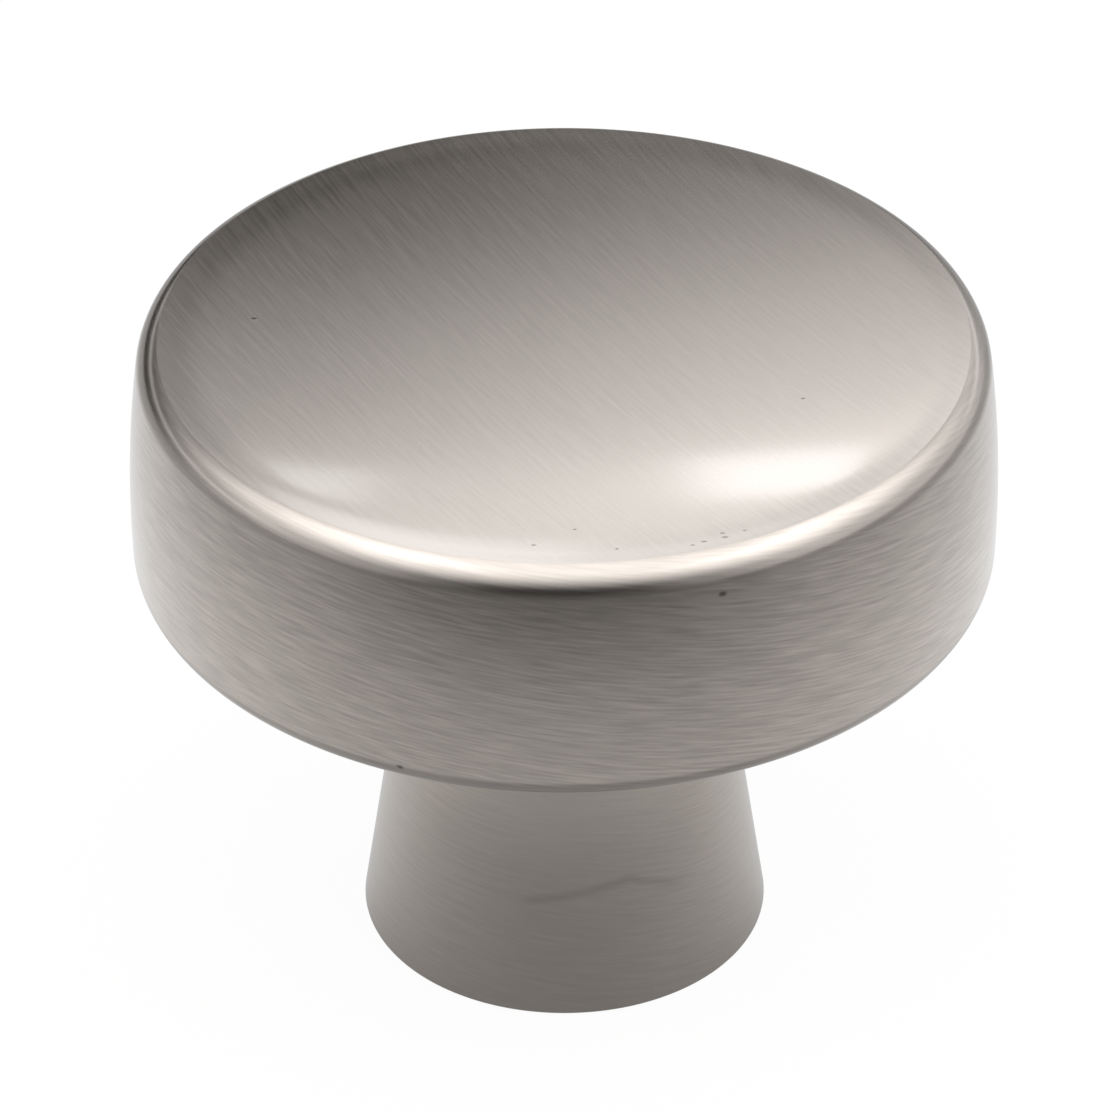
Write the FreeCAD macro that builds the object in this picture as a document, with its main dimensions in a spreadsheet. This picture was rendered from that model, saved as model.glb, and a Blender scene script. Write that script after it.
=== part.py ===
import FreeCAD, Part
import Sketcher
import math
import os

# Cabinet knob, cast in one piece: a drum-shaped head with a dished face and a softly
# rounded crest, on a stem that flares out to its foot, tapped from below for one screw.
# Millimetres. The origin is the centre of the foot, on the door face, and +Z points
# along the knob's axis to the head.

# Driving sizes
SIZES = {
    "headDiameter": 33.3,      # across the widest line of the head's wall
    "overallHeight": 26.5,     # from the foot to the crown, the head's highest ring
    "widestHeight": 19.2,      # height of that widest line
    "wallBow": 46.0,           # radius of the wall's slight barrel curve
    "crestRadius": 1.3,        # the soft rounding from the wall up to the crown
    "crownEdgeRadius": 0.15,   # the tight rounding from the crown down into the dish
    "crownTurn": 20.0,         # degrees that the tight one turns outwards before the soft one
    "dishDepth": 1.1,          # from the crown down to the middle of the dish
    "headUnderside": 16.75,    # height of the flat face below the head
    "lowerEdgeRadius": 1.0,    # the rounding at the bottom of the wall
    "neckDiameter": 11.1,      # the stem's cone where it meets the underside
    "neckFillet": 1.5,         # the cast fillet in that corner
    "footDiameter": 16.1,      # the stem's cone at the door face
    "footChamfer": 0.25,       # the broken edge of the foot
    "boreDiameter": 3.5,       # tapping drill for a number 8 screw, 32 threads to the inch
    "boreDepth": 13.0,         # depth of the bore to the end of its full diameter
    "drillPointAngle": 118.0,  # angle of the cone that the drill leaves there
    "mouthDiameter": 4.8,      # the countersunk mouth of the bore
    "mouthAngle": 90.0,        # angle of that countersink
}

# Points of a sketch element, and the sketch's own origin
START, END, CENTRE = range(1, 4)
ORIGIN = (-1, 1)

doc = FreeCAD.newDocument("CabinetKnob")

sheet = doc.addObject("Spreadsheet::Sheet", "Sizes")
for row, (alias, value) in enumerate(SIZES.items(), start=1):
    sheet.set(f"A{row}", alias)
    sheet.set(f"B{row}", str(value))
    sheet.setAlias(f"B{row}", alias)
doc.recompute()


def size(alias):
    """One driving size, as the sheet holds it."""
    return float(sheet.get(alias))


def in_sheet(formula):
    """A formula with each [alias] written as the sheet's own name for that size."""
    return formula.replace("[", "<<Sizes>>.").replace("]", "")


def bind(thing, path, formula):
    """Tie a property or a named constraint to a formula of the sheet's sizes."""
    thing.setExpression(path, in_sheet(formula))


def new_sketch(body, name, role):
    """An empty sketch on one of the body's own origin planes, found by its role."""
    sketch = body.newObject("Sketcher::SketchObject", name)
    planes = [plane for plane in body.Origin.OriginFeatures if plane.Role == role]
    sketch.AttachmentSupport = [(planes[0], "")]
    sketch.MapMode = "FlatFace"
    return sketch


def draw_line(sketch, start, end):
    """A straight line of the sketch; returns its number."""
    return sketch.addGeometry(Part.LineSegment(FreeCAD.Vector(*start, 0), FreeCAD.Vector(*end, 0)))


def draw_arc(sketch, centre, radius, start_angle, end_angle):
    """An arc drawn anticlockwise, with its angles in radians; returns its number."""
    circle = Part.Circle(FreeCAD.Vector(*centre, 0), FreeCAD.Vector(0, 0, 1), radius)
    return sketch.addGeometry(Part.ArcOfCircle(circle, start_angle, end_angle))


def measure(sketch, name, kind, places, formula):
    """A named dimension of the sketch, tied to a formula of the sheet's sizes."""
    value = float(sketch.evalExpression(in_sheet(formula)))
    number = sketch.addConstraint(Sketcher.Constraint(kind, *places, value))
    sketch.renameConstraint(number, name)
    bind(sketch, f"Constraints.{name}", formula)


def ring_edge(feature, radius, height):
    """The name of the circular edge that lies at a radius and a height."""
    rings = []
    for number, edge in enumerate(feature.Shape.Edges, start=1):
        if not edge.Degenerated and isinstance(edge.Curve, Part.Circle):
            miss = math.hypot(edge.Curve.Radius - radius, edge.Curve.Center.z - height)
            rings.append((miss, f"Edge{number}"))
    return min(rings)[1]


def dress_ring(body, kind, name, radius, height, path, alias):
    """Fillet or chamfer one circular edge of the body, by a size of the sheet."""
    base = body.Tip
    dressing = body.newObject(f"PartDesign::{kind}", name)
    dressing.Base = (base, [ring_edge(base, radius, height)])
    bind(dressing, path, f"[{alias}]")
    doc.recompute()


# Half section of the knob
# The sketch lies in the XZ plane, radius across and height up. Each arc's place is
# worked out first, so that the lines are drawn where their dimensions will hold them.
foot_radius = size("footDiameter") / 2
neck_radius = size("neckDiameter") / 2
underside = size("headUnderside")
crown_radius = size("crownEdgeRadius")
crest_radius = size("crestRadius")
edge_radius = size("lowerEdgeRadius")
wall_bow = size("wallBow")

# The wall's arc has its widest point level with its centre
wall_centre = (size("headDiameter") / 2 - wall_bow, size("widestHeight"))


def inside_wall(radius, height):
    """Centre of an arc that touches the wall's arc from inside, and the angle where it does."""
    rise = height - wall_centre[1]
    reach = math.sqrt((wall_bow - radius) ** 2 - rise ** 2)
    return (wall_centre[0] + reach, height), math.atan2(rise, reach)


edge_centre, wall_low_angle = inside_wall(edge_radius, underside + edge_radius)

# The crown's small rounding lies inside the crest's, and touches it at the crown's turn
crown_turn = math.radians(size("crownTurn"))
crown_height = size("overallHeight") - crown_radius
crest_height = crown_height - (crest_radius - crown_radius) * math.cos(crown_turn)
crest_centre, wall_top_angle = inside_wall(crest_radius, crest_height)
crown_reach = crest_centre[0] + (crest_radius - crown_radius) * math.sin(crown_turn)
crown_centre = (crown_reach, crown_height)
crest_top_angle = math.pi / 2 - crown_turn

# The dish touches the crown from outside: its radius follows from its depth by Pythagoras
dish_floor = size("overallHeight") - size("dishDepth")
dish_drop = dish_floor - crown_height
dish_radius = (crown_reach ** 2 + dish_drop ** 2 - crown_radius ** 2) / (2 * size("dishDepth"))
dish_centre = (0.0, dish_floor + dish_radius)
dish_rim_angle = math.atan2(crown_height - dish_centre[1], crown_reach)

knob = doc.addObject("PartDesign::Body", "Knob")
knob.Label = "knob"

profile = new_sketch(knob, "KnobProfile", "XZ_Plane")
foot = draw_line(profile, (0, 0), (foot_radius, 0))
flank = draw_line(profile, (foot_radius, 0), (neck_radius, underside))
ledge = draw_line(profile, (neck_radius, underside), (edge_centre[0], underside))
low_edge = draw_arc(profile, edge_centre, edge_radius, -math.pi / 2, wall_low_angle)
wall = draw_arc(profile, wall_centre, wall_bow, wall_low_angle, wall_top_angle)
crest = draw_arc(profile, crest_centre, crest_radius, wall_top_angle, crest_top_angle)
crown = draw_arc(profile, crown_centre, crown_radius, crest_top_angle, dish_rim_angle + math.pi)
dish = draw_arc(profile, dish_centre, dish_radius, -math.pi / 2, dish_rim_angle)
middle = draw_line(profile, (0, dish_floor), (0, 0))

profile.addConstraint([
    Sketcher.Constraint("Coincident", foot, START, *ORIGIN),
    Sketcher.Constraint("Horizontal", foot),
    Sketcher.Constraint("Coincident", foot, END, flank, START),
    Sketcher.Constraint("Coincident", flank, END, ledge, START),
    Sketcher.Constraint("Horizontal", ledge),
    Sketcher.Constraint("Tangent", ledge, END, low_edge, START),
    Sketcher.Constraint("Tangent", low_edge, END, wall, START),
    Sketcher.Constraint("Tangent", wall, END, crest, START),
    Sketcher.Constraint("Tangent", crest, END, crown, START),
    Sketcher.Constraint("Tangent", crown, END, dish, END),
    Sketcher.Constraint("Coincident", dish, START, middle, START),
    Sketcher.Constraint("Coincident", middle, END, *ORIGIN),
    Sketcher.Constraint("Vertical", middle),
    Sketcher.Constraint("Vertical", dish, CENTRE, *ORIGIN),
])
measure(profile, "footRadius", "DistanceX", (*ORIGIN, foot, END), "[footDiameter] / 2")
measure(profile, "neckRadius", "DistanceX", (*ORIGIN, flank, END), "[neckDiameter] / 2")
measure(profile, "undersideHeight", "DistanceY", (*ORIGIN, flank, END), "[headUnderside]")
measure(profile, "wallRadius", "Radius", (wall,), "[wallBow]")
measure(profile, "wallSetback", "DistanceX", (wall, CENTRE, *ORIGIN), "[wallBow] - [headDiameter] / 2")
measure(profile, "wallCentreHeight", "DistanceY", (*ORIGIN, wall, CENTRE), "[widestHeight]")
measure(profile, "lowEdgeRounding", "Radius", (low_edge,), "[lowerEdgeRadius]")
measure(profile, "crestRounding", "Radius", (crest,), "[crestRadius]")
measure(profile, "crownRounding", "Radius", (crown,), "[crownEdgeRadius]")
measure(profile, "crownHeight", "DistanceY", (*ORIGIN, crown, CENTRE),
        "[overallHeight] - [crownEdgeRadius]")
measure(profile, "crestDrop", "DistanceY", (crest, CENTRE, crown, CENTRE),
        "([crestRadius] - [crownEdgeRadius]) * cos([crownTurn])")
measure(profile, "dishFloor", "DistanceY", (*ORIGIN, dish, START), "[overallHeight] - [dishDepth]")
doc.recompute()

turned = knob.newObject("PartDesign::Revolution", "TurnedForm")
turned.Profile = profile
turned.ReferenceAxis = (profile, ["V_Axis"])
turned.Angle = 360
doc.recompute()

# Dressed edges
dress_ring(knob, "Fillet", "NeckFillet", neck_radius, underside, "Radius", "neckFillet")
dress_ring(knob, "Chamfer", "FootEdge", foot_radius, 0.0, "Size", "footChamfer")
solid_volume = knob.Shape.Volume

# Screw bore
# Blind, from the foot upwards, drilled to the tapping size with a countersunk mouth.
bore_sketch = new_sketch(knob, "BoreCentre", "XY_Plane")
bore_ring = bore_sketch.addGeometry(
    Part.Circle(FreeCAD.Vector(0, 0, 0), FreeCAD.Vector(0, 0, 1), size("boreDiameter") / 2))
bore_sketch.addConstraint(Sketcher.Constraint("Coincident", bore_ring, CENTRE, *ORIGIN))
measure(bore_sketch, "boreRadius", "Radius", (bore_ring,), "[boreDiameter] / 2")
doc.recompute()

bore = knob.newObject("PartDesign::Hole", "ScrewBore")
bore.Profile = bore_sketch
bore.Reversed = True
bore.DepthType = "Dimension"
bore.DrillPoint = "Angled"
bore.HoleCutType = "Countersink"
bind(bore, "Diameter", "[boreDiameter]")
bind(bore, "Depth", "[boreDepth]")
bind(bore, "DrillPointAngle", "[drillPointAngle]")
bind(bore, "HoleCutDiameter", "[mouthDiameter]")
bind(bore, "HoleCutCountersinkAngle", "[mouthAngle]")
doc.recompute()


def cone_volume(low_radius, high_radius, height):
    """Volume of a cone cut off between two radii."""
    return math.pi * height * (low_radius ** 2 + low_radius * high_radius + high_radius ** 2) / 3


# What the drill and the countersink should have taken away
bore_radius = size("boreDiameter") / 2
mouth_radius = size("mouthDiameter") / 2
mouth_depth = (mouth_radius - bore_radius) / math.tan(math.radians(size("mouthAngle") / 2))
point_depth = bore_radius / math.tan(math.radians(size("drillPointAngle") / 2))
drilled = cone_volume(bore_radius, bore_radius, size("boreDepth") - mouth_depth)
drilled += cone_volume(mouth_radius, bore_radius, mouth_depth)
drilled += cone_volume(bore_radius, 0.0, point_depth)

# Checks before anything is written
for item in doc.Objects:
    if "Invalid" in item.State or "Error" in item.State:
        raise RuntimeError(f"{item.Name} failed: {item.State}")
if knob.Shape.isNull() or not knob.Shape.isValid() or len(knob.Shape.Solids) != 1:
    raise RuntimeError("the knob is not one valid solid")
taken = solid_volume - knob.Shape.Volume
if abs(taken - drilled) > 0.001 * drilled:
    raise RuntimeError(f"the bore took {taken:.3f} mm3 and should have taken {drilled:.3f} mm3")

os.makedirs("parts", exist_ok=True)
knob.Shape.exportStep(f"parts/{knob.Label}.step")

box = knob.Shape.optimalBoundingBox()
print(f"knob: {box.XLength:.3f} x {box.YLength:.3f} x {box.ZLength:.3f} mm, "
      f"{knob.Shape.Volume:.1f} mm3, dish radius {dish_radius:.1f} mm, "
      f"bore wall {size('boreDepth') - mouth_depth:.3f} mm long")
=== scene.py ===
import bpy
import numpy as np
from math import radians, degrees, pi, sin, cos, tan, atan2, sqrt, hypot
from mathutils import Matrix, Vector


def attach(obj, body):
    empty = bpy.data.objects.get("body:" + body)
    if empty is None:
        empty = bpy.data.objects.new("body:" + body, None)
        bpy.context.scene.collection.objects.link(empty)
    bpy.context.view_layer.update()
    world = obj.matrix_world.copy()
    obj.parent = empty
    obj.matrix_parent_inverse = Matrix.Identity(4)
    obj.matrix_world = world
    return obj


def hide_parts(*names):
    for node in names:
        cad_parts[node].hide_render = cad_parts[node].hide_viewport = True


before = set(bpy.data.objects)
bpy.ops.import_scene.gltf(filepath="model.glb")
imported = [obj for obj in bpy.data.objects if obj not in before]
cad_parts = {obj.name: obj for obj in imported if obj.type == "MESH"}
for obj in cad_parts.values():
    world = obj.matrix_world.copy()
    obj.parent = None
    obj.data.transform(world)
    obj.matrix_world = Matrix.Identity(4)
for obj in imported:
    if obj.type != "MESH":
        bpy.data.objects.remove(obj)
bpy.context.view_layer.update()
mm = 0.001
print("frame loaded: nodes", list(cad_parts))


# Small helpers

def linearRgb(hexColour):
    # sRGB hex to linear light, channel by channel
    channels = [int(hexColour[i:i + 2], 16) / 255 for i in (1, 3, 5)]
    return tuple(c / 12.92 if c <= 0.04045 else ((c + 0.055) / 1.055) ** 2.4 for c in channels) + (1.0,)


def addNode(tree, kind, settings=None, links=None):
    # one node: settings are its properties or, by socket name or number, its inputs;
    # links are input socket -> output socket of an earlier node
    node = tree.nodes.new(kind)
    for name, value in (settings or {}).items():
        if isinstance(name, str) and hasattr(node, name):
            setattr(node, name, value)
        else:
            node.inputs[name].default_value = value
    for name, source in (links or {}).items():
        tree.links.new(source, node.inputs[name])
    return node


def newMaterial(name):
    material = bpy.data.materials.new(name)
    material.use_nodes = True
    material.node_tree.nodes.clear()
    return material, material.node_tree


# The knob's casting
# Sizes in millimetres, as the solid has them, with the thread that the solid leaves out

knobSizes = {
    "headRadius": 16.65,      # at the widest line of the wall
    "height": 26.5,           # top of the crown, the highest ring
    "widestHeight": 19.2,
    "wallBow": 46.0,          # the wall's slight barrel curve
    "crestRadius": 1.3,       # the rounding from the wall up to the crown, where the dish begins
    "crownTurn": 20.0,        # slope of the crest at the crown, in degrees
    "dishDepth": 1.1,
    "rimDipDepth": 0.052,     # the face steepens a little towards its rim, by a smooth step
    "rimDipAt": 14.91,
    "rimDipWidth": 0.68,
    "underside": 16.75,
    "lowerEdgeRadius": 1.0,
    "neckRadius": 5.55,
    "neckFillet": 1.5,
    "footRadius": 8.05,
    "footEdge": 0.25,
    "boreRadius": 1.75,
    "boreDepth": 13.0,
    "drillPointAngle": 118.0,
    "mouthRadius": 2.4,
    "threadPitch": 0.794,     # 32 to the inch
    "threadMajorRadius": 2.08,
    "threadRunOut": 1.2,      # length over which the thread fades at its inner end
    "columns": 192,
    "dishRings": 28,          # even rings from the middle out to the rim's start
    "rimFrom": 12.0,
    "rimRings": 34,           # closer ones from there to the crown
    "rowsPerPitch": 12,
}


def arcPoints(centre, radius, startDeg, endDeg, steps):
    # points of an arc: centre + radius * (cos a, sin a), a running evenly from start to end
    a = np.radians(np.linspace(startDeg, endDeg, steps + 1))
    return np.stack([centre[0] + radius * np.cos(a), centre[1] + radius * np.sin(a)], 1)


def linePoints(start, end, steps):
    # points of a straight line, evenly spaced
    t = np.linspace(0, 1, steps + 1)[:, None]
    return np.array(start) * (1 - t) + np.array(end) * t


def knobProfile(s):
    # Half section, from the middle of the dish over the crest, down the wall, under the head,
    # down the stem, across the foot and up the bore: arcs that touch, joined by straight lines.
    wallCentre = (s["headRadius"] - s["wallBow"], s["widestHeight"])

    def insideWall(radius, height):
        # centre of an arc that touches the wall from inside, and the angle where it does
        rise = height - wallCentre[1]
        reach = sqrt((s["wallBow"] - radius) ** 2 - rise ** 2)
        return (wallCentre[0] + reach, height), degrees(atan2(rise, reach))

    edgeCentre, wallLow = insideWall(s["lowerEdgeRadius"], s["underside"] + s["lowerEdgeRadius"])

    # the crest ends at the crown, which is the highest ring and a crisp edge
    turn = radians(s["crownTurn"])
    crestCentre, wallTop = insideWall(s["crestRadius"], s["height"] - s["crestRadius"] * cos(turn))
    crownR = crestCentre[0] + s["crestRadius"] * sin(turn)

    # the dish is a ball's face through the crown: its radius follows from its depth. Its rows
    # stand closer near the crown, and it is lowered inside the crown by
    # depth / 2 * (tanh at the crown - tanh((r - at) / width))
    dishRadius = (crownR ** 2 + s["dishDepth"] ** 2) / (2 * s["dishDepth"])
    dishR = np.concatenate([np.linspace(0, s["rimFrom"], s["dishRings"]),
                            np.linspace(s["rimFrom"] + 0.2, crownR, s["rimRings"])])
    step = np.tanh((dishR - s["rimDipAt"]) / s["rimDipWidth"])
    dishZ = (s["height"] - s["dishDepth"] + dishRadius - np.sqrt(dishRadius ** 2 - dishR ** 2)
             - s["rimDipDepth"] / 2 * (step[-1] - step))

    # the neck's fillet touches the underside and the stem's flank from outside
    lean = atan2(s["footRadius"] - s["neckRadius"], s["underside"])
    filletZ = s["underside"] - s["neckFillet"]
    flankAtFillet = s["footRadius"] - filletZ * tan(lean)
    neckCentre = (flankAtFillet + s["neckFillet"] / cos(lean), filletZ)

    # the foot's rounded edge touches the flank and the foot from inside
    footCentre = (s["footRadius"] - s["footEdge"] * (tan(lean) + 1 / cos(lean)), s["footEdge"])

    mouthDepth = s["mouthRadius"] - s["boreRadius"]
    tipZ = s["boreDepth"] + s["boreRadius"] / tan(radians(s["drillPointAngle"] / 2))
    boreSteps = int(round((s["boreDepth"] - mouthDepth) / s["threadPitch"] * s["rowsPerPitch"]))

    parts = {
        "dish": np.stack([dishR, dishZ], 1),
        "crest": arcPoints(crestCentre, s["crestRadius"], 90 - s["crownTurn"], wallTop, 36),
        "wall": arcPoints(wallCentre, s["wallBow"], wallTop, wallLow, 40),
        "lowerEdge": arcPoints(edgeCentre, s["lowerEdgeRadius"], wallLow, -90, 28),
        "underside": linePoints((edgeCentre[0], s["underside"]), (neckCentre[0], s["underside"]), 10),
        "neck": arcPoints(neckCentre, s["neckFillet"], 90, 180 + degrees(lean), 16),
        "stem": None,
        "footEdge": arcPoints(footCentre, s["footEdge"], degrees(lean), -90, 8),
        "foot": linePoints((footCentre[0], 0), (s["mouthRadius"], 0), 6),
        "mouth": linePoints((s["mouthRadius"], 0), (s["boreRadius"], mouthDepth), 4),
        "bore": linePoints((s["boreRadius"], mouthDepth), (s["boreRadius"], s["boreDepth"]), boreSteps),
        "tip": linePoints((s["boreRadius"], s["boreDepth"]), (0.0, tipZ), 4),
    }
    parts["stem"] = linePoints(parts["neck"][-1], parts["footEdge"][0], 28)
    points, names = [parts["dish"]], ["dish"] * len(parts["dish"])
    for name in list(parts)[1:]:
        points.append(parts[name][1:])
        names += [name] * (len(parts[name]) - 1)
    return np.concatenate(points), np.array(names)


def turnedMesh(name, points, columns, radiusChange=None):
    # A surface of revolution on a grid: row i, column j stands at radius r_i (plus any change),
    # angle 2 pi j / columns and height z_i. The first and last rows lie on the axis and become
    # one point each, with a fan of triangles, so the skin is closed.
    r, z = points[:, 0], points[:, 1]
    rows = len(points) - 2
    angle = np.arange(columns) * (2 * pi / columns)
    ring = np.broadcast_to(r[1:-1, None], (rows, columns)).copy()
    if radiusChange is not None:
        ring += radiusChange(z[1:-1, None], angle[None, :])
    grid = np.stack([ring * np.cos(angle), ring * np.sin(angle),
                     np.broadcast_to(z[1:-1, None], ring.shape)], -1)
    first, last = rows * columns, rows * columns + 1
    vertices = np.concatenate([grid.reshape(-1, 3), [[0, 0, z[0]], [0, 0, z[-1]]]]) * mm

    i = np.arange(rows - 1)[:, None] * columns
    j = np.arange(columns)[None, :]
    k = (j + 1) % columns
    quads = np.stack([i + j, i + columns + j, i + columns + k, i + k], -1).reshape(-1, 4)
    top = np.stack([np.full(columns, first), j[0], k[0]], -1)
    end = (rows - 1) * columns
    tail = np.stack([np.full(columns, last), end + k[0], end + j[0]], -1)

    mesh = bpy.data.meshes.new(name)
    mesh.from_pydata(vertices.tolist(), [], quads.tolist() + top.tolist() + tail.tolist())
    mesh.polygons.foreach_set("use_smooth", np.ones(len(mesh.polygons), bool))
    mesh.update()
    return mesh


def screwThread(s):
    # Radius added on the bore's wall: a rounded V groove that climbs one pitch a turn, from
    # nothing on the crest to the thread's depth in its root, and fades before the bore's end.
    depth = s["threadMajorRadius"] - s["boreRadius"]
    mouthDepth = s["mouthRadius"] - s["boreRadius"]

    def change(z, angle):
        turn = z / s["threadPitch"] - angle / (2 * pi)
        wave = 1 - np.abs(2 * (turn - np.floor(turn)) - 1)
        groove = np.clip(wave * 1.25 - 0.125, 0, 1)
        fadeIn = np.clip((z - mouthDepth) / 0.2, 0, 1)
        fadeOut = np.clip((s["boreDepth"] - 0.3 - z) / s["threadRunOut"], 0, 1)
        inBore = (z > mouthDepth + 1e-6) & (z < s["boreDepth"] - 1e-6)
        return np.where(inBore, depth * groove * fadeIn * fadeOut, 0.0)

    return change


profile, partNames = knobProfile(knobSizes)
threadChange = screwThread(knobSizes)
boreRow = (partNames == "bore")[1:-1, None]
knobMesh = turnedMesh("knob_casting", profile, knobSizes["columns"],
                      lambda z, angle: np.where(boreRow, threadChange(z, angle), 0.0))

# the crown is a sharp ring: the edges whose two ends both lie on it
crownRow = np.where(partNames == "dish")[0][-1] - 1
edgeEnds = np.empty(2 * len(knobMesh.edges), np.int32)
knobMesh.edges.foreach_get("vertices", edgeEnds)
onCrown = (edgeEnds.reshape(-1, 2) // knobSizes["columns"] == crownRow).all(1)
knobMesh.attributes.new("sharp_edge", "BOOLEAN", "EDGE").data.foreach_set("value", onCrown)

# three values for the brush lines, the same all round each ring: where the straight ones are,
# 1 on the dish and 0 from the crest on, the length along the profile in metres, and how
# strongly the streaks vary the metal's brightness
streakTone = {"dish": 0.26, "crest": 0.35, "wall": 0.75, "lowerEdge": 0.5, "rest": 0.2}
downLength = np.concatenate([[0.0], np.cumsum(np.hypot(*np.diff(profile, axis=0).T))]) * mm
tones = np.array([streakTone.get(part, streakTone["rest"]) for part in partNames])
ringValues = {"dishShare": partNames == "dish", "downLength": downLength, "streakTone": tones}
for name, rowValues in ringValues.items():
    values = np.concatenate([np.repeat(rowValues[1:-1], knobSizes["columns"]), rowValues[[0, -1]]])
    knobMesh.attributes.new(name, "FLOAT", "POINT").data.foreach_set("value", values.astype(np.float32))

knob = bpy.data.objects.new("knob_casting", knobMesh)
bpy.context.collection.objects.link(knob)
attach(knob, "root")
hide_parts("knob")
knobMesh.calc_loop_triangles()
print("casting:", len(knobMesh.vertices), "points,", len(knobMesh.loop_triangles), "triangles")


# Satin nickel: nickel plate on die-cast zinc, brushed with a fine belt and then lacquered.
# The eye gets a warm grey metal whose highlights smear across the brush lines, fine
# lighter and darker streaks along them, and a few tiny pits in the plate.

nickel = {
    "colour": "#D6CDC5",
    "roughness": 0.22,
    "roughnessSwing": 0.06,     # rougher in the light streaks, smoother in the dark ones
    "anisotropy": 0.55,
    "lacquerRoughness": 0.08,
    "dishLineAngle": -60.0,     # of the straight lines on the dish, in degrees from +X
    "dishGrain": (2.5, 0.15),   # mm: length of a streak and space between streaks
    "wallGrain": (1.8, 0.11),
    "wallLean": (0.146, 0.13),  # the belt ran slightly out of level round the wall
    "grainDepth": 0.0012,       # mm
    "reliefStrength": 0.4,
    "pitDepth": 0.01,
    "pitShade": 0.7,            # how much darker a pit is
    "pits": (                   # x, y, radius in mm, on the dish
        (-11.79, 1.89, 0.08), (8.95, -3.44, 0.06), (0.38, -12.62, 0.05), (-1.10, -13.86, 0.06),
        (5.70, -13.22, 0.07), (5.78, -13.56, 0.09), (5.02, -13.83, 0.08), (4.61, -14.09, 0.06),
        (6.50, -13.11, 0.05), (1.89, -14.20, 0.05)),
    "wallPits": (               # x, y, z, radius
        (5.67, -15.25, 25.08, 0.12), (4.34, -15.97, 24.37, 0.06), (-6.04, -15.49, 17.56, 0.11)),
    "pitStretch": 1.6,          # a pit is this much longer along X than across
    "paintedReflection": ((-1.6, 5.0), (2.5, 5.78), (4.4, 4.95)),   # x, z in mm: a painted dark reflection on the stem's front, along a bent line
    "paintedReflectionWidth": 0.32,        # mm to either side
    "paintedReflectionSoft": 0.5,
    "paintedReflectionFront": (-4.0, -3.0),    # y: whole in front of the first, gone behind the second
    # how much darker the painted dark reflection makes the stem
    "paintedReflectionShade": 0.15,
}


def pitMask(tree, position, places, stretch):
    # 1 inside any pit, 0 outside: 1 - smooth step of the distance to its place, with X divided
    # by the stretch first, and the largest one counts
    squeezed = addNode(tree, "ShaderNodeVectorMath", {"operation": "MULTIPLY", 1: (1 / stretch, 1, 1)},
                       {0: position})
    mask = 0.0
    for x, y, z, radius in places:
        away = addNode(tree, "ShaderNodeVectorMath",
                       {"operation": "DISTANCE", 1: (x / stretch * mm, y * mm, z * mm)},
                       {0: squeezed.outputs[0]})
        one = addNode(tree, "ShaderNodeMapRange",
                      {"interpolation_type": "SMOOTHSTEP", "From Min": 0.2 * radius * mm,
                       "From Max": 1.3 * radius * mm, "To Min": 1.0, "To Max": 0.0},
                      {"Value": away.outputs["Value"]})
        if mask == 0.0:
            mask = one.outputs["Result"]
        else:
            mask = addNode(tree, "ShaderNodeMath", {"operation": "MAXIMUM"},
                           {0: mask, 1: one.outputs["Result"]}).outputs[0]
    return mask


# the painted dark reflection on the stem's front: where it lies
def paintedReflectionMask(tree, place, n):
    # 1 on a bent line of three points, 0 beyond its width: the line's height is one ramp over X
    # less another, and the mask is the smooth steps across it, at both ends and in Y multiplied
    (x0, z0), (x1, z1), (x2, z2) = [(x * mm, z * mm) for x, z in n["paintedReflection"]]
    soft = n["paintedReflectionSoft"] * mm
    yWhole, yGone = [y * mm for y in n["paintedReflectionFront"]]
    rise = addNode(tree, "ShaderNodeMapRange",
                   {"From Min": x0, "From Max": x1, "To Min": z0, "To Max": z1},
                   {"Value": place.outputs["X"]})
    fall = addNode(tree, "ShaderNodeMapRange",
                   {"From Min": x1, "From Max": x2, "To Min": 0.0, "To Max": z1 - z2},
                   {"Value": place.outputs["X"]})
    line = addNode(tree, "ShaderNodeMath", {"operation": "SUBTRACT"},
                   {0: rise.outputs["Result"], 1: fall.outputs["Result"]})
    offset = addNode(tree, "ShaderNodeMath", {"operation": "SUBTRACT"},
                     {0: place.outputs["Z"], 1: line.outputs[0]})
    away = addNode(tree, "ShaderNodeMath", {"operation": "ABSOLUTE"}, {0: offset.outputs[0]})
    mask = None
    for value, low, high, atLow, atHigh in (
            (away.outputs[0], 0.0, n["paintedReflectionWidth"] * mm, 1.0, 0.0),
            (place.outputs["X"], x0 - soft, x0 + soft, 0.0, 1.0),
            (place.outputs["X"], x2 - soft, x2 + soft, 1.0, 0.0),
            (place.outputs["Y"], yWhole, yGone, 1.0, 0.0)):
        step = addNode(tree, "ShaderNodeMapRange",
                       {"interpolation_type": "SMOOTHSTEP", "From Min": low, "From Max": high,
                        "To Min": atLow, "To Max": atHigh}, {"Value": value})
        if mask is None:
            mask = step.outputs["Result"]
        else:
            mask = addNode(tree, "ShaderNodeMath", {"operation": "MULTIPLY"},
                           {0: mask, 1: step.outputs["Result"]}).outputs[0]
    return mask


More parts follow.
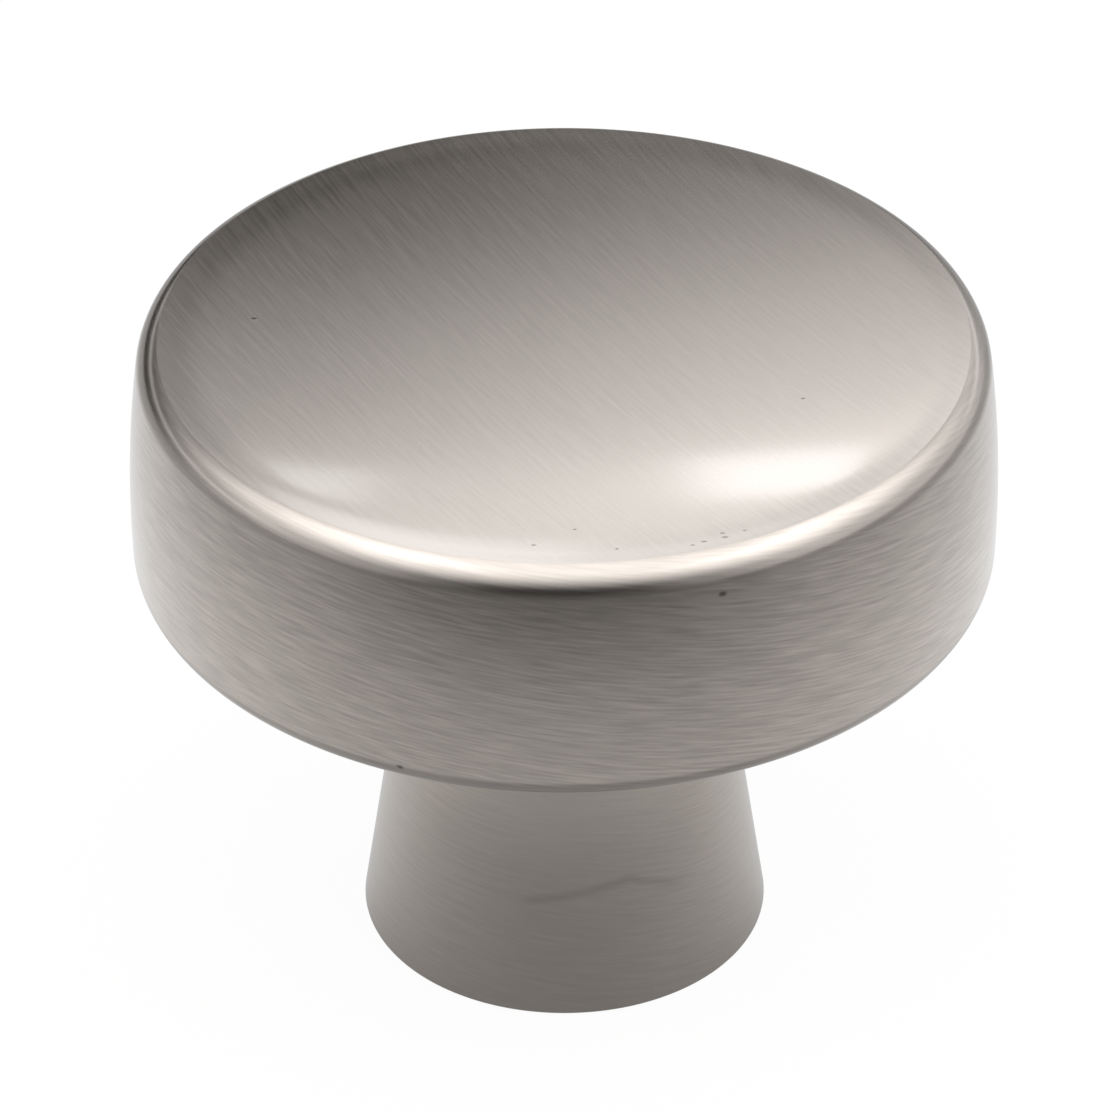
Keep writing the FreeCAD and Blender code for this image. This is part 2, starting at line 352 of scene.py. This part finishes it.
def brushedNickel(n, dishHeight):
    material, tree = newMaterial("brushed_satin_nickel")
    coords = addNode(tree, "ShaderNodeTexCoord")
    share = addNode(tree, "ShaderNodeAttribute", {"attribute_name": "dishShare"})
    downLength = addNode(tree, "ShaderNodeAttribute", {"attribute_name": "downLength"})
    geometry = addNode(tree, "ShaderNodeNewGeometry")

    # dish: turn the pattern so that its long axis follows the brush lines
    long, apart = n["dishGrain"]
    dishMap = addNode(tree, "ShaderNodeMapping",
                      {"vector_type": "TEXTURE", "Rotation": (0, 0, radians(n["dishLineAngle"]))},
                      {"Vector": coords.outputs["Object"]})
    dishStretch = addNode(tree, "ShaderNodeVectorMath", {"operation": "MULTIPLY",
                          1: (1 / (long * mm), 1 / (apart * mm), 1 / (2 * mm))},
                          {0: dishMap.outputs["Vector"]})
    # crest, wall and stem: long round the axis, fine down the profile
    long, apart = n["wallGrain"]
    lean = addNode(tree, "ShaderNodeVectorMath", {"operation": "DOT_PRODUCT", 1: (*n["wallLean"], 0)},
                   {0: coords.outputs["Object"]})
    wallLevel = addNode(tree, "ShaderNodeMath", {"operation": "SUBTRACT"},
                        {0: lean.outputs["Value"], 1: downLength.outputs["Fac"]})
    place = addNode(tree, "ShaderNodeSeparateXYZ", {}, {0: coords.outputs["Object"]})
    wallPlace = addNode(tree, "ShaderNodeCombineXYZ", {},
                        {"X": place.outputs["X"], "Y": place.outputs["Y"], "Z": wallLevel.outputs[0]})
    wallStretch = addNode(tree, "ShaderNodeVectorMath", {"operation": "MULTIPLY",
                          1: (1 / (long * mm), 1 / (long * mm), 1 / (apart * mm))},
                          {0: wallPlace.outputs[0]})
    grainPlace = addNode(tree, "ShaderNodeMix", {"data_type": "VECTOR"},
                         {"Factor": share.outputs["Fac"], 4: wallStretch.outputs[0],
                          5: dishStretch.outputs[0]})
    grain = addNode(tree, "ShaderNodeTexNoise", {"Scale": 1.0, "Detail": 2.0, "Roughness": 0.5},
                    {"Vector": grainPlace.outputs[1]})
    streak = addNode(tree, "ShaderNodeMath", {"operation": "SUBTRACT", 1: 0.5}, {0: grain.outputs["Fac"]})

    # direction across the lines, which the highlight smears along
    across = radians(n["dishLineAngle"] + 90)
    aroundAxis = addNode(tree, "ShaderNodeVectorMath", {"operation": "CROSS_PRODUCT", 0: (0, 0, 1)},
                         {1: coords.outputs["Object"]})
    upWall = addNode(tree, "ShaderNodeVectorMath", {"operation": "CROSS_PRODUCT"},
                     {0: aroundAxis.outputs[0], 1: geometry.outputs["Normal"]})
    upUnit = addNode(tree, "ShaderNodeVectorMath", {"operation": "NORMALIZE"}, {0: upWall.outputs[0]})
    tangent = addNode(tree, "ShaderNodeMix", {"data_type": "VECTOR", 5: (cos(across), sin(across), 0)},
                      {"Factor": share.outputs["Fac"], 4: upUnit.outputs[0]})

    # brightness: 1 + streak * strength, much darker in the pits, and darker along the painted dark reflection
    # on the stem
    dishPits = [(x, y, dishHeight(hypot(x, y)), radius) for x, y, radius in n["pits"]]
    pits = pitMask(tree, coords.outputs["Object"], dishPits + list(n["wallPits"]), n["pitStretch"])
    strength = addNode(tree, "ShaderNodeAttribute", {"attribute_name": "streakTone"})
    tone = addNode(tree, "ShaderNodeMath", {"operation": "MULTIPLY_ADD", 2: 1.0},
                   {0: streak.outputs[0], 1: strength.outputs["Fac"]})
    pitTone = addNode(tree, "ShaderNodeMath", {"operation": "MULTIPLY_ADD", 1: -n["pitShade"], 2: 1.0},
                      {0: pits})
    # painted dark reflection: the stem's front is made darker along a bent line
    paintedReflection = paintedReflectionMask(tree, place, n)
    paintedReflectionTone = addNode(tree, "ShaderNodeMath", {"operation": "MULTIPLY_ADD", 1: -n["paintedReflectionShade"], 2: 1.0},
                         {0: paintedReflection})
    pitsAndPaintedReflection = addNode(tree, "ShaderNodeMath", {"operation": "MULTIPLY"},
                    {0: pitTone.outputs[0], 1: paintedReflectionTone.outputs[0]})
    shade = addNode(tree, "ShaderNodeMath", {"operation": "MULTIPLY"},
                    {0: tone.outputs[0], 1: pitsAndPaintedReflection.outputs[0]})
    colour = addNode(tree, "ShaderNodeVectorMath", {"operation": "SCALE", 0: linearRgb(n["colour"])[:3]},
                     {"Scale": shade.outputs[0]})
    rough = addNode(tree, "ShaderNodeMath",
                    {"operation": "MULTIPLY_ADD", 1: n["roughnessSwing"], 2: n["roughness"]},
                    {0: streak.outputs[0]})

    # relief: the streaks' height less the pits' depth
    relief = addNode(tree, "ShaderNodeMath",
                     {"operation": "MULTIPLY_ADD", 1: -n["pitDepth"] / n["grainDepth"]},
                     {0: pits, 2: grain.outputs["Fac"]})
    bump = addNode(tree, "ShaderNodeBump", {"Strength": n["reliefStrength"], "Distance": n["grainDepth"] * mm},
                   {"Height": relief.outputs[0]})
    metal = addNode(tree, "ShaderNodeBsdfPrincipled",
                    {"Metallic": 1.0, "Anisotropic": n["anisotropy"], "Coat Weight": 1.0,
                     "Coat Roughness": n["lacquerRoughness"]},
                    {"Base Color": colour.outputs[0], "Roughness": rough.outputs[0],
                     "Normal": bump.outputs["Normal"], "Tangent": tangent.outputs[1]})
    addNode(tree, "ShaderNodeOutputMaterial", {}, {"Surface": metal.outputs["BSDF"]})
    return material


dishRows = profile[partNames == "dish"]
knobMesh.materials.append(brushedNickel(nickel, lambda r: np.interp(r, dishRows[:, 0], dishRows[:, 1])))
print("material: brushed satin nickel")


# Stage: a pale table top inside a light tent, on white
# The tent is what the metal mirrors. It is cloth that brightens towards the roof, with lit
# side walls, a lit backdrop and a dark gap above it, each a soft-edged panel by azimuth
# (0 behind, + to the right) and elevation.

tent = {
    "radius": 3.0,
    "dimLevel": 0.02,
    "roofLevel": 1.46,
    "roofFrom": 19.0,       # degrees up, where it starts to brighten
    "roofTo": 62.5,
    "panels": {             # azimuth, elevation, half width, half height, soft edge both ways, level
        "backdrop": (-5.3, 21.1, 1.2, 8.2, 11.8, 27.6, 0.80),
        "backFoot": (-28.6, 14.2, 59.8, 0.3, 39.3, 4.4, 0.65),
        "rightWall": (84.9, 28.0, 25.1, 32.7, 63.8, 3.4, 0.65),
        "rightCorner": (24.0, 24.0, 3.0, 2.0, 14.0, 14.0, 0.22),
        "leftWall": (-105.2, 34.5, 2.6, 38.5, 64.1, 4.9, 0.54),
        "darkGap": (3.1, 52.5, 2.3, 3.2, 75.0, 26.5, -1.01),
    },
}


def tentCloth(t):
    # Glow by direction: a straight ramp by elevation, then for each panel
    # level * (1 - smooth step of |azimuth - its own|) * (1 - smooth step of |elevation - its own|)
    material, tree = newMaterial("tent_cloth")
    coords = addNode(tree, "ShaderNodeTexCoord")
    unit = addNode(tree, "ShaderNodeVectorMath", {"operation": "NORMALIZE"}, {0: coords.outputs["Object"]})
    axes = addNode(tree, "ShaderNodeSeparateXYZ", {}, {0: unit.outputs[0]})
    azimuth = addNode(tree, "ShaderNodeMath", {"operation": "ARCTAN2"},
                      {0: axes.outputs["X"], 1: axes.outputs["Y"]})
    elevation = addNode(tree, "ShaderNodeMath", {"operation": "ARCSINE"}, {0: axes.outputs["Z"]})
    glow = addNode(tree, "ShaderNodeMapRange",
                   {"From Min": radians(t["roofFrom"]), "From Max": radians(t["roofTo"]),
                    "To Min": t["dimLevel"], "To Max": t["roofLevel"]},
                   {"Value": elevation.outputs[0]}).outputs["Result"]
    for name, (az, el, halfAz, halfEl, softAz, softEl, level) in t["panels"].items():
        turned = addNode(tree, "ShaderNodeMath", {"operation": "SUBTRACT", "label": name, 1: radians(az)},
                         {0: azimuth.outputs[0]})
        wrapped = addNode(tree, "ShaderNodeMath", {"operation": "WRAP", 1: pi, 2: -pi},
                          {0: turned.outputs[0]})
        sideways = addNode(tree, "ShaderNodeMath", {"operation": "ABSOLUTE"}, {0: wrapped.outputs[0]})
        raised = addNode(tree, "ShaderNodeMath", {"operation": "SUBTRACT", 1: radians(el)},
                         {0: elevation.outputs[0]})
        upways = addNode(tree, "ShaderNodeMath", {"operation": "ABSOLUTE"}, {0: raised.outputs[0]})
        across = addNode(tree, "ShaderNodeMapRange",
                         {"interpolation_type": "SMOOTHSTEP", "From Min": radians(halfAz),
                          "From Max": radians(halfAz + softAz), "To Min": level, "To Max": 0.0},
                         {"Value": sideways.outputs[0]})
        upright = addNode(tree, "ShaderNodeMapRange",
                          {"interpolation_type": "SMOOTHSTEP", "From Min": radians(halfEl),
                           "From Max": radians(halfEl + softEl), "To Min": 1.0, "To Max": 0.0},
                          {"Value": upways.outputs[0]})
        glow = addNode(tree, "ShaderNodeMath", {"operation": "MULTIPLY_ADD"},
                       {0: across.outputs["Result"], 1: upright.outputs["Result"], 2: glow}).outputs[0]
    glow = addNode(tree, "ShaderNodeMath", {"operation": "MAXIMUM", 1: 0.0}, {0: glow}).outputs[0]
    cloth = addNode(tree, "ShaderNodeEmission", {"Color": (1, 1, 1, 1)}, {"Strength": glow})
    addNode(tree, "ShaderNodeOutputMaterial", {}, {"Surface": cloth.outputs[0]})
    material.cycles.emission_sampling = "NONE"
    return material


def tentSphere(t):
    # a sphere about the origin: ring i at polar angle pi i / rings, one point at each pole
    a = np.pi * np.arange(49) / 48
    mesh = turnedMesh("light_tent", np.stack([np.sin(a), np.cos(a)], 1) * t["radius"] / mm, 96)
    mesh.materials.append(tentCloth(t))
    cloth = bpy.data.objects.new("light_tent", mesh)
    bpy.context.collection.objects.link(cloth)
    cloth.visible_camera = False
    cloth.visible_shadow = False


tentSphere(tent)

table = {
    "radius": 0.6,
    "paper": "#F4F4F2",
    "whiteShare": 0.93,        # how far the camera, mirrors and glass see it plain white
    "cameraLevel": 1.02,
    "sideLevel": 0.93,         # in the metal: bright beside and behind the knob
    "frontLevel": 0.50,        # dim towards the camera
    "frontTurnFrom": -0.8, "frontTurnTo": 1.1,    # -y / distance, where one turns into the other
    "underSide": 0.66,         # and dimmer again under the head
    "underFront": 0.43,
    "underTurnFrom": -0.1, "underTurnTo": 1.0,
    "underFrom": 0.0250, "underTo": 0.0340,
    "farSide": 0.35,           # and away from the knob, most of all to the front
    "farFront": 0.03,
    "farTurnFrom": 0.41, "farTurnTo": 1.14,
    "farFrom": 0.0100, "farTo": 0.1044,
}


def tablePaper(t):
    # White to the camera. In mirrors the same paper falls off towards the camera side, away from
    # the knob and under its head: side-to-front by -y / distance, the others by distance.
    material, tree = newMaterial("pale_paper")
    coords = addNode(tree, "ShaderNodeTexCoord")
    flat = addNode(tree, "ShaderNodeVectorMath", {"operation": "MULTIPLY", 1: (1, 1, 0)},
                   {0: coords.outputs["Object"]})
    distance = addNode(tree, "ShaderNodeVectorMath", {"operation": "LENGTH"}, {0: flat.outputs[0]})
    outward = addNode(tree, "ShaderNodeVectorMath", {"operation": "NORMALIZE"}, {0: flat.outputs[0]})
    frontness = addNode(tree, "ShaderNodeVectorMath", {"operation": "DOT_PRODUCT", 1: (0, -1, 0)},
                        {0: outward.outputs[0]})
    toFront = addNode(tree, "ShaderNodeMapRange",
                      {"interpolation_type": "SMOOTHSTEP", "From Min": t["frontTurnFrom"],
                       "From Max": t["frontTurnTo"], "To Min": t["sideLevel"], "To Max": t["frontLevel"]},
                      {"Value": frontness.outputs["Value"]})
    underTurn = addNode(tree, "ShaderNodeMapRange",
                        {"From Min": t["underTurnFrom"], "From Max": t["underTurnTo"],
                         "To Min": t["underSide"], "To Max": t["underFront"]},
                        {"Value": frontness.outputs["Value"]})
    toHead = addNode(tree, "ShaderNodeMapRange",
                     {"interpolation_type": "SMOOTHSTEP", "From Min": t["underFrom"],
                      "From Max": t["underTo"], "To Max": 1.0},
                     {"Value": distance.outputs["Value"], "To Min": underTurn.outputs["Result"]})
    farTurn = addNode(tree, "ShaderNodeMapRange",
                      {"interpolation_type": "SMOOTHSTEP", "From Min": t["farTurnFrom"],
                       "From Max": t["farTurnTo"], "To Min": t["farSide"], "To Max": t["farFront"]},
                      {"Value": frontness.outputs["Value"]})
    toFar = addNode(tree, "ShaderNodeMapRange",
                    {"interpolation_type": "SMOOTHSTEP", "From Min": t["farFrom"], "From Max": t["farTo"],
                     "To Min": 1.0},
                    {"Value": distance.outputs["Value"], "To Max": farTurn.outputs["Result"]})
    shaded = addNode(tree, "ShaderNodeMath", {"operation": "MULTIPLY"},
                     {0: toFront.outputs["Result"], 1: toHead.outputs["Result"]})
    mirrored = addNode(tree, "ShaderNodeMath", {"operation": "MULTIPLY"},
                       {0: shaded.outputs[0], 1: toFar.outputs["Result"]})
    path = addNode(tree, "ShaderNodeLightPath")
    level = addNode(tree, "ShaderNodeMix", {"data_type": "FLOAT", 3: t["cameraLevel"]},
                    {"Factor": path.outputs["Is Camera Ray"], 2: mirrored.outputs[0]})
    glossy = addNode(tree, "ShaderNodeMath", {"operation": "ADD"},
                     {0: path.outputs["Is Camera Ray"], 1: path.outputs["Is Glossy Ray"]})
    seen = addNode(tree, "ShaderNodeMath", {"operation": "ADD", "use_clamp": True},
                   {0: glossy.outputs[0], 1: path.outputs["Is Transmission Ray"]})
    share = addNode(tree, "ShaderNodeMath", {"operation": "MULTIPLY", 1: t["whiteShare"]},
                    {0: seen.outputs[0]})
    paper = addNode(tree, "ShaderNodeBsdfDiffuse", {"Color": linearRgb(t["paper"])})
    white = addNode(tree, "ShaderNodeEmission", {"Color": (1, 1, 1, 1)}, {"Strength": level.outputs[0]})
    mix = addNode(tree, "ShaderNodeMixShader", {},
                  {0: share.outputs[0], 1: paper.outputs[0], 2: white.outputs[0]})
    # from below it can be seen through, so that it doesn't hide the knob's underside
    side = addNode(tree, "ShaderNodeNewGeometry")
    clear = addNode(tree, "ShaderNodeBsdfTransparent")
    oneSided = addNode(tree, "ShaderNodeMixShader", {},
                       {0: side.outputs["Backfacing"], 1: mix.outputs[0], 2: clear.outputs[0]})
    addNode(tree, "ShaderNodeOutputMaterial", {}, {"Surface": oneSided.outputs[0]})
    material.cycles.emission_sampling = "NONE"
    return material


def tableTop(t):
    # a flat disc on a polar grid: ring i at radius * i / rings, one point in the middle
    rings, columns = 8, 96
    a = np.arange(columns) * (2 * pi / columns)
    r = t["radius"] * np.arange(1, rings + 1) / rings
    ringPoints = np.stack([r[:, None] * np.cos(a), r[:, None] * np.sin(a), np.zeros((rings, columns))], -1)
    vertices = np.concatenate([ringPoints.reshape(-1, 3), [[0, 0, 0]]])
    i = np.arange(rings - 1)[:, None] * columns
    j = np.arange(columns)[None, :]
    k = (j + 1) % columns
    quads = np.stack([i + j, i + columns + j, i + columns + k, i + k], -1).reshape(-1, 4)
    fan = np.stack([np.full(columns, rings * columns), j[0], k[0]], -1)
    mesh = bpy.data.meshes.new("table_top")
    mesh.from_pydata(vertices.tolist(), [], quads.tolist() + fan.tolist())
    mesh.materials.append(tablePaper(t))
    top = bpy.data.objects.new("table_top", mesh)
    bpy.context.collection.objects.link(top)


tableTop(table)

# small lamps behind, seen sharply in the lacquer: the glints on the dish
lamps = {                  # azimuth, elevation, width and height in degrees, brightness (1 is white)
    "left_lamp": (-2.04, 24.17, 1.62, 3.12, 3.2),
    "right_lamp": (2.38, 23.33, 1.04, 2.45, 2.4),
    "low_lamp": (2.32, 16.87, 4.66, 5.60, 1.00),
}
lampDistance = 2.0
headCentre = Vector((0.0, 0.0, 0.0253))
for name, (azimuth, elevation, width, height, level) in lamps.items():
    data = bpy.data.lights.new(name, "AREA")
    data.shape = "RECTANGLE"
    data.size = lampDistance * radians(width)
    data.size_y = lampDistance * radians(height)
    data.energy = level * pi * data.size * data.size_y    # watts that look this bright
    lamp = bpy.data.objects.new(name, data)
    az, el = radians(azimuth), radians(elevation)
    lamp.location = headCentre + lampDistance * Vector((sin(az) * cos(el), cos(az) * cos(el), sin(el)))
    lamp.rotation_euler = (headCentre - lamp.location).to_track_quat("-Z", "Y").to_euler()
    bpy.context.collection.objects.link(lamp)

# white world: the camera, and any mirror or glass that sees past the tent, get plain white
world = bpy.data.worlds.new("white_room")
bpy.context.scene.world = world
world.use_nodes = True
worldTree = world.node_tree
worldTree.nodes.clear()
worldPath = addNode(worldTree, "ShaderNodeLightPath")
worldGlossy = addNode(worldTree, "ShaderNodeMath", {"operation": "ADD"},
                      {0: worldPath.outputs["Is Camera Ray"], 1: worldPath.outputs["Is Glossy Ray"]})
worldSeen = addNode(worldTree, "ShaderNodeMath", {"operation": "ADD", "use_clamp": True},
                    {0: worldGlossy.outputs[0], 1: worldPath.outputs["Is Transmission Ray"]})
worldLevel = addNode(worldTree, "ShaderNodeMapRange", {"To Min": 0.8, "To Max": 1.0},
                     {"Value": worldSeen.outputs[0]})
worldLight = addNode(worldTree, "ShaderNodeBackground", {"Color": (1, 1, 1, 1)},
                     {"Strength": worldLevel.outputs["Result"]})
addNode(worldTree, "ShaderNodeOutputWorld", {}, {"Surface": worldLight.outputs[0]})
print("stage: table, tent and", len(lamps), "lamps")


# Camera, at the photograph's viewing angle

view = {
    "elevation": 34.31,
    "distance": 0.2371,
    "target": (-0.00016, 0.0, 0.01615),
    "roll": -0.11,
    "focalPixels": 6115.0,     # for a frame of 1120 pixels
    "framePixels": 1120.0,
    "sensorMm": 36.0,
}
cameraData = bpy.data.cameras.new("photo_camera")
cameraData.sensor_width = view["sensorMm"]
cameraData.lens = view["sensorMm"] * view["focalPixels"] / view["framePixels"]
cameraData.clip_start = 0.01
camera = bpy.data.objects.new("photo_camera", cameraData)
tilt = radians(view["elevation"])
place = Vector(view["target"]) + view["distance"] * Vector((0, -cos(tilt), sin(tilt)))
camera.matrix_world = (Matrix.Translation(place) @ Matrix.Rotation(pi / 2 - tilt, 4, "X")
                       @ Matrix.Rotation(radians(view["roll"]), 4, "Z"))
bpy.context.collection.objects.link(camera)
bpy.context.scene.camera = camera
bpy.context.scene.view_settings.view_transform = "Standard"
print("camera placed")
